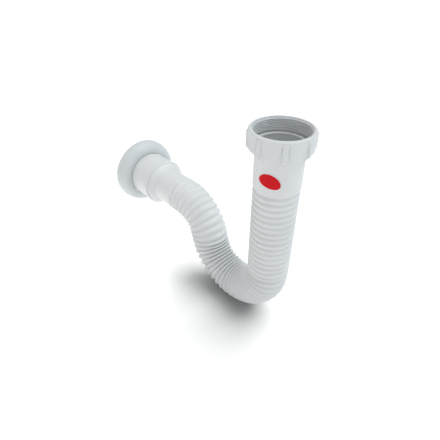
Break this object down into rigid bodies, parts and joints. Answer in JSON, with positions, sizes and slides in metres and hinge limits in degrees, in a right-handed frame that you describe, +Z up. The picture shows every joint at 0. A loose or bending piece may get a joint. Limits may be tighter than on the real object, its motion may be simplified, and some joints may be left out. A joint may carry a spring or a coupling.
{
  "type": "flexible waste pipe",
  "caption": "White plastic flexible waste pipe: a ribbed inlet nut, a bellows bent into a trap, and a smooth outlet tail with a loose wall flange",
  "frame": {"origin": "centre of the mouth of the coupling nut's thread", "axes": "+Z up along the inlet axis, out of the nut; the outlet tail points along -X; Y is across the plane of the bend"},
  "size_m": [0.236, 0.0716, 0.1953],
  "materials": {
    "pipe": "satin white moulded polypropylene",
    "nut": "satin white moulded polypropylene, slightly greyer",
    "flange": "satin white moulded plastic",
    "label": "blank red film label"
  },
  "bodies": {
    "pipe_body": {"flexible_pipe": "pipe", "label": "label"},
    "nut_body": {"coupling_nut": "nut"},
    "flange_body": {"wall_flange": "flange"}
  },
  "joints": [
    {"name": "nut_spin", "type": "hinge", "parent": "pipe_body", "child": "nut_body", "pos_m": [0, 0, 0], "axis": [0, 0, 1], "continuous": true},
    {"name": "flange_slide", "type": "slide", "parent": "pipe_body", "child": "flange_body", "axis": [1, 0, 0], "range_m": [-0.012, 0.025]}
  ]
}
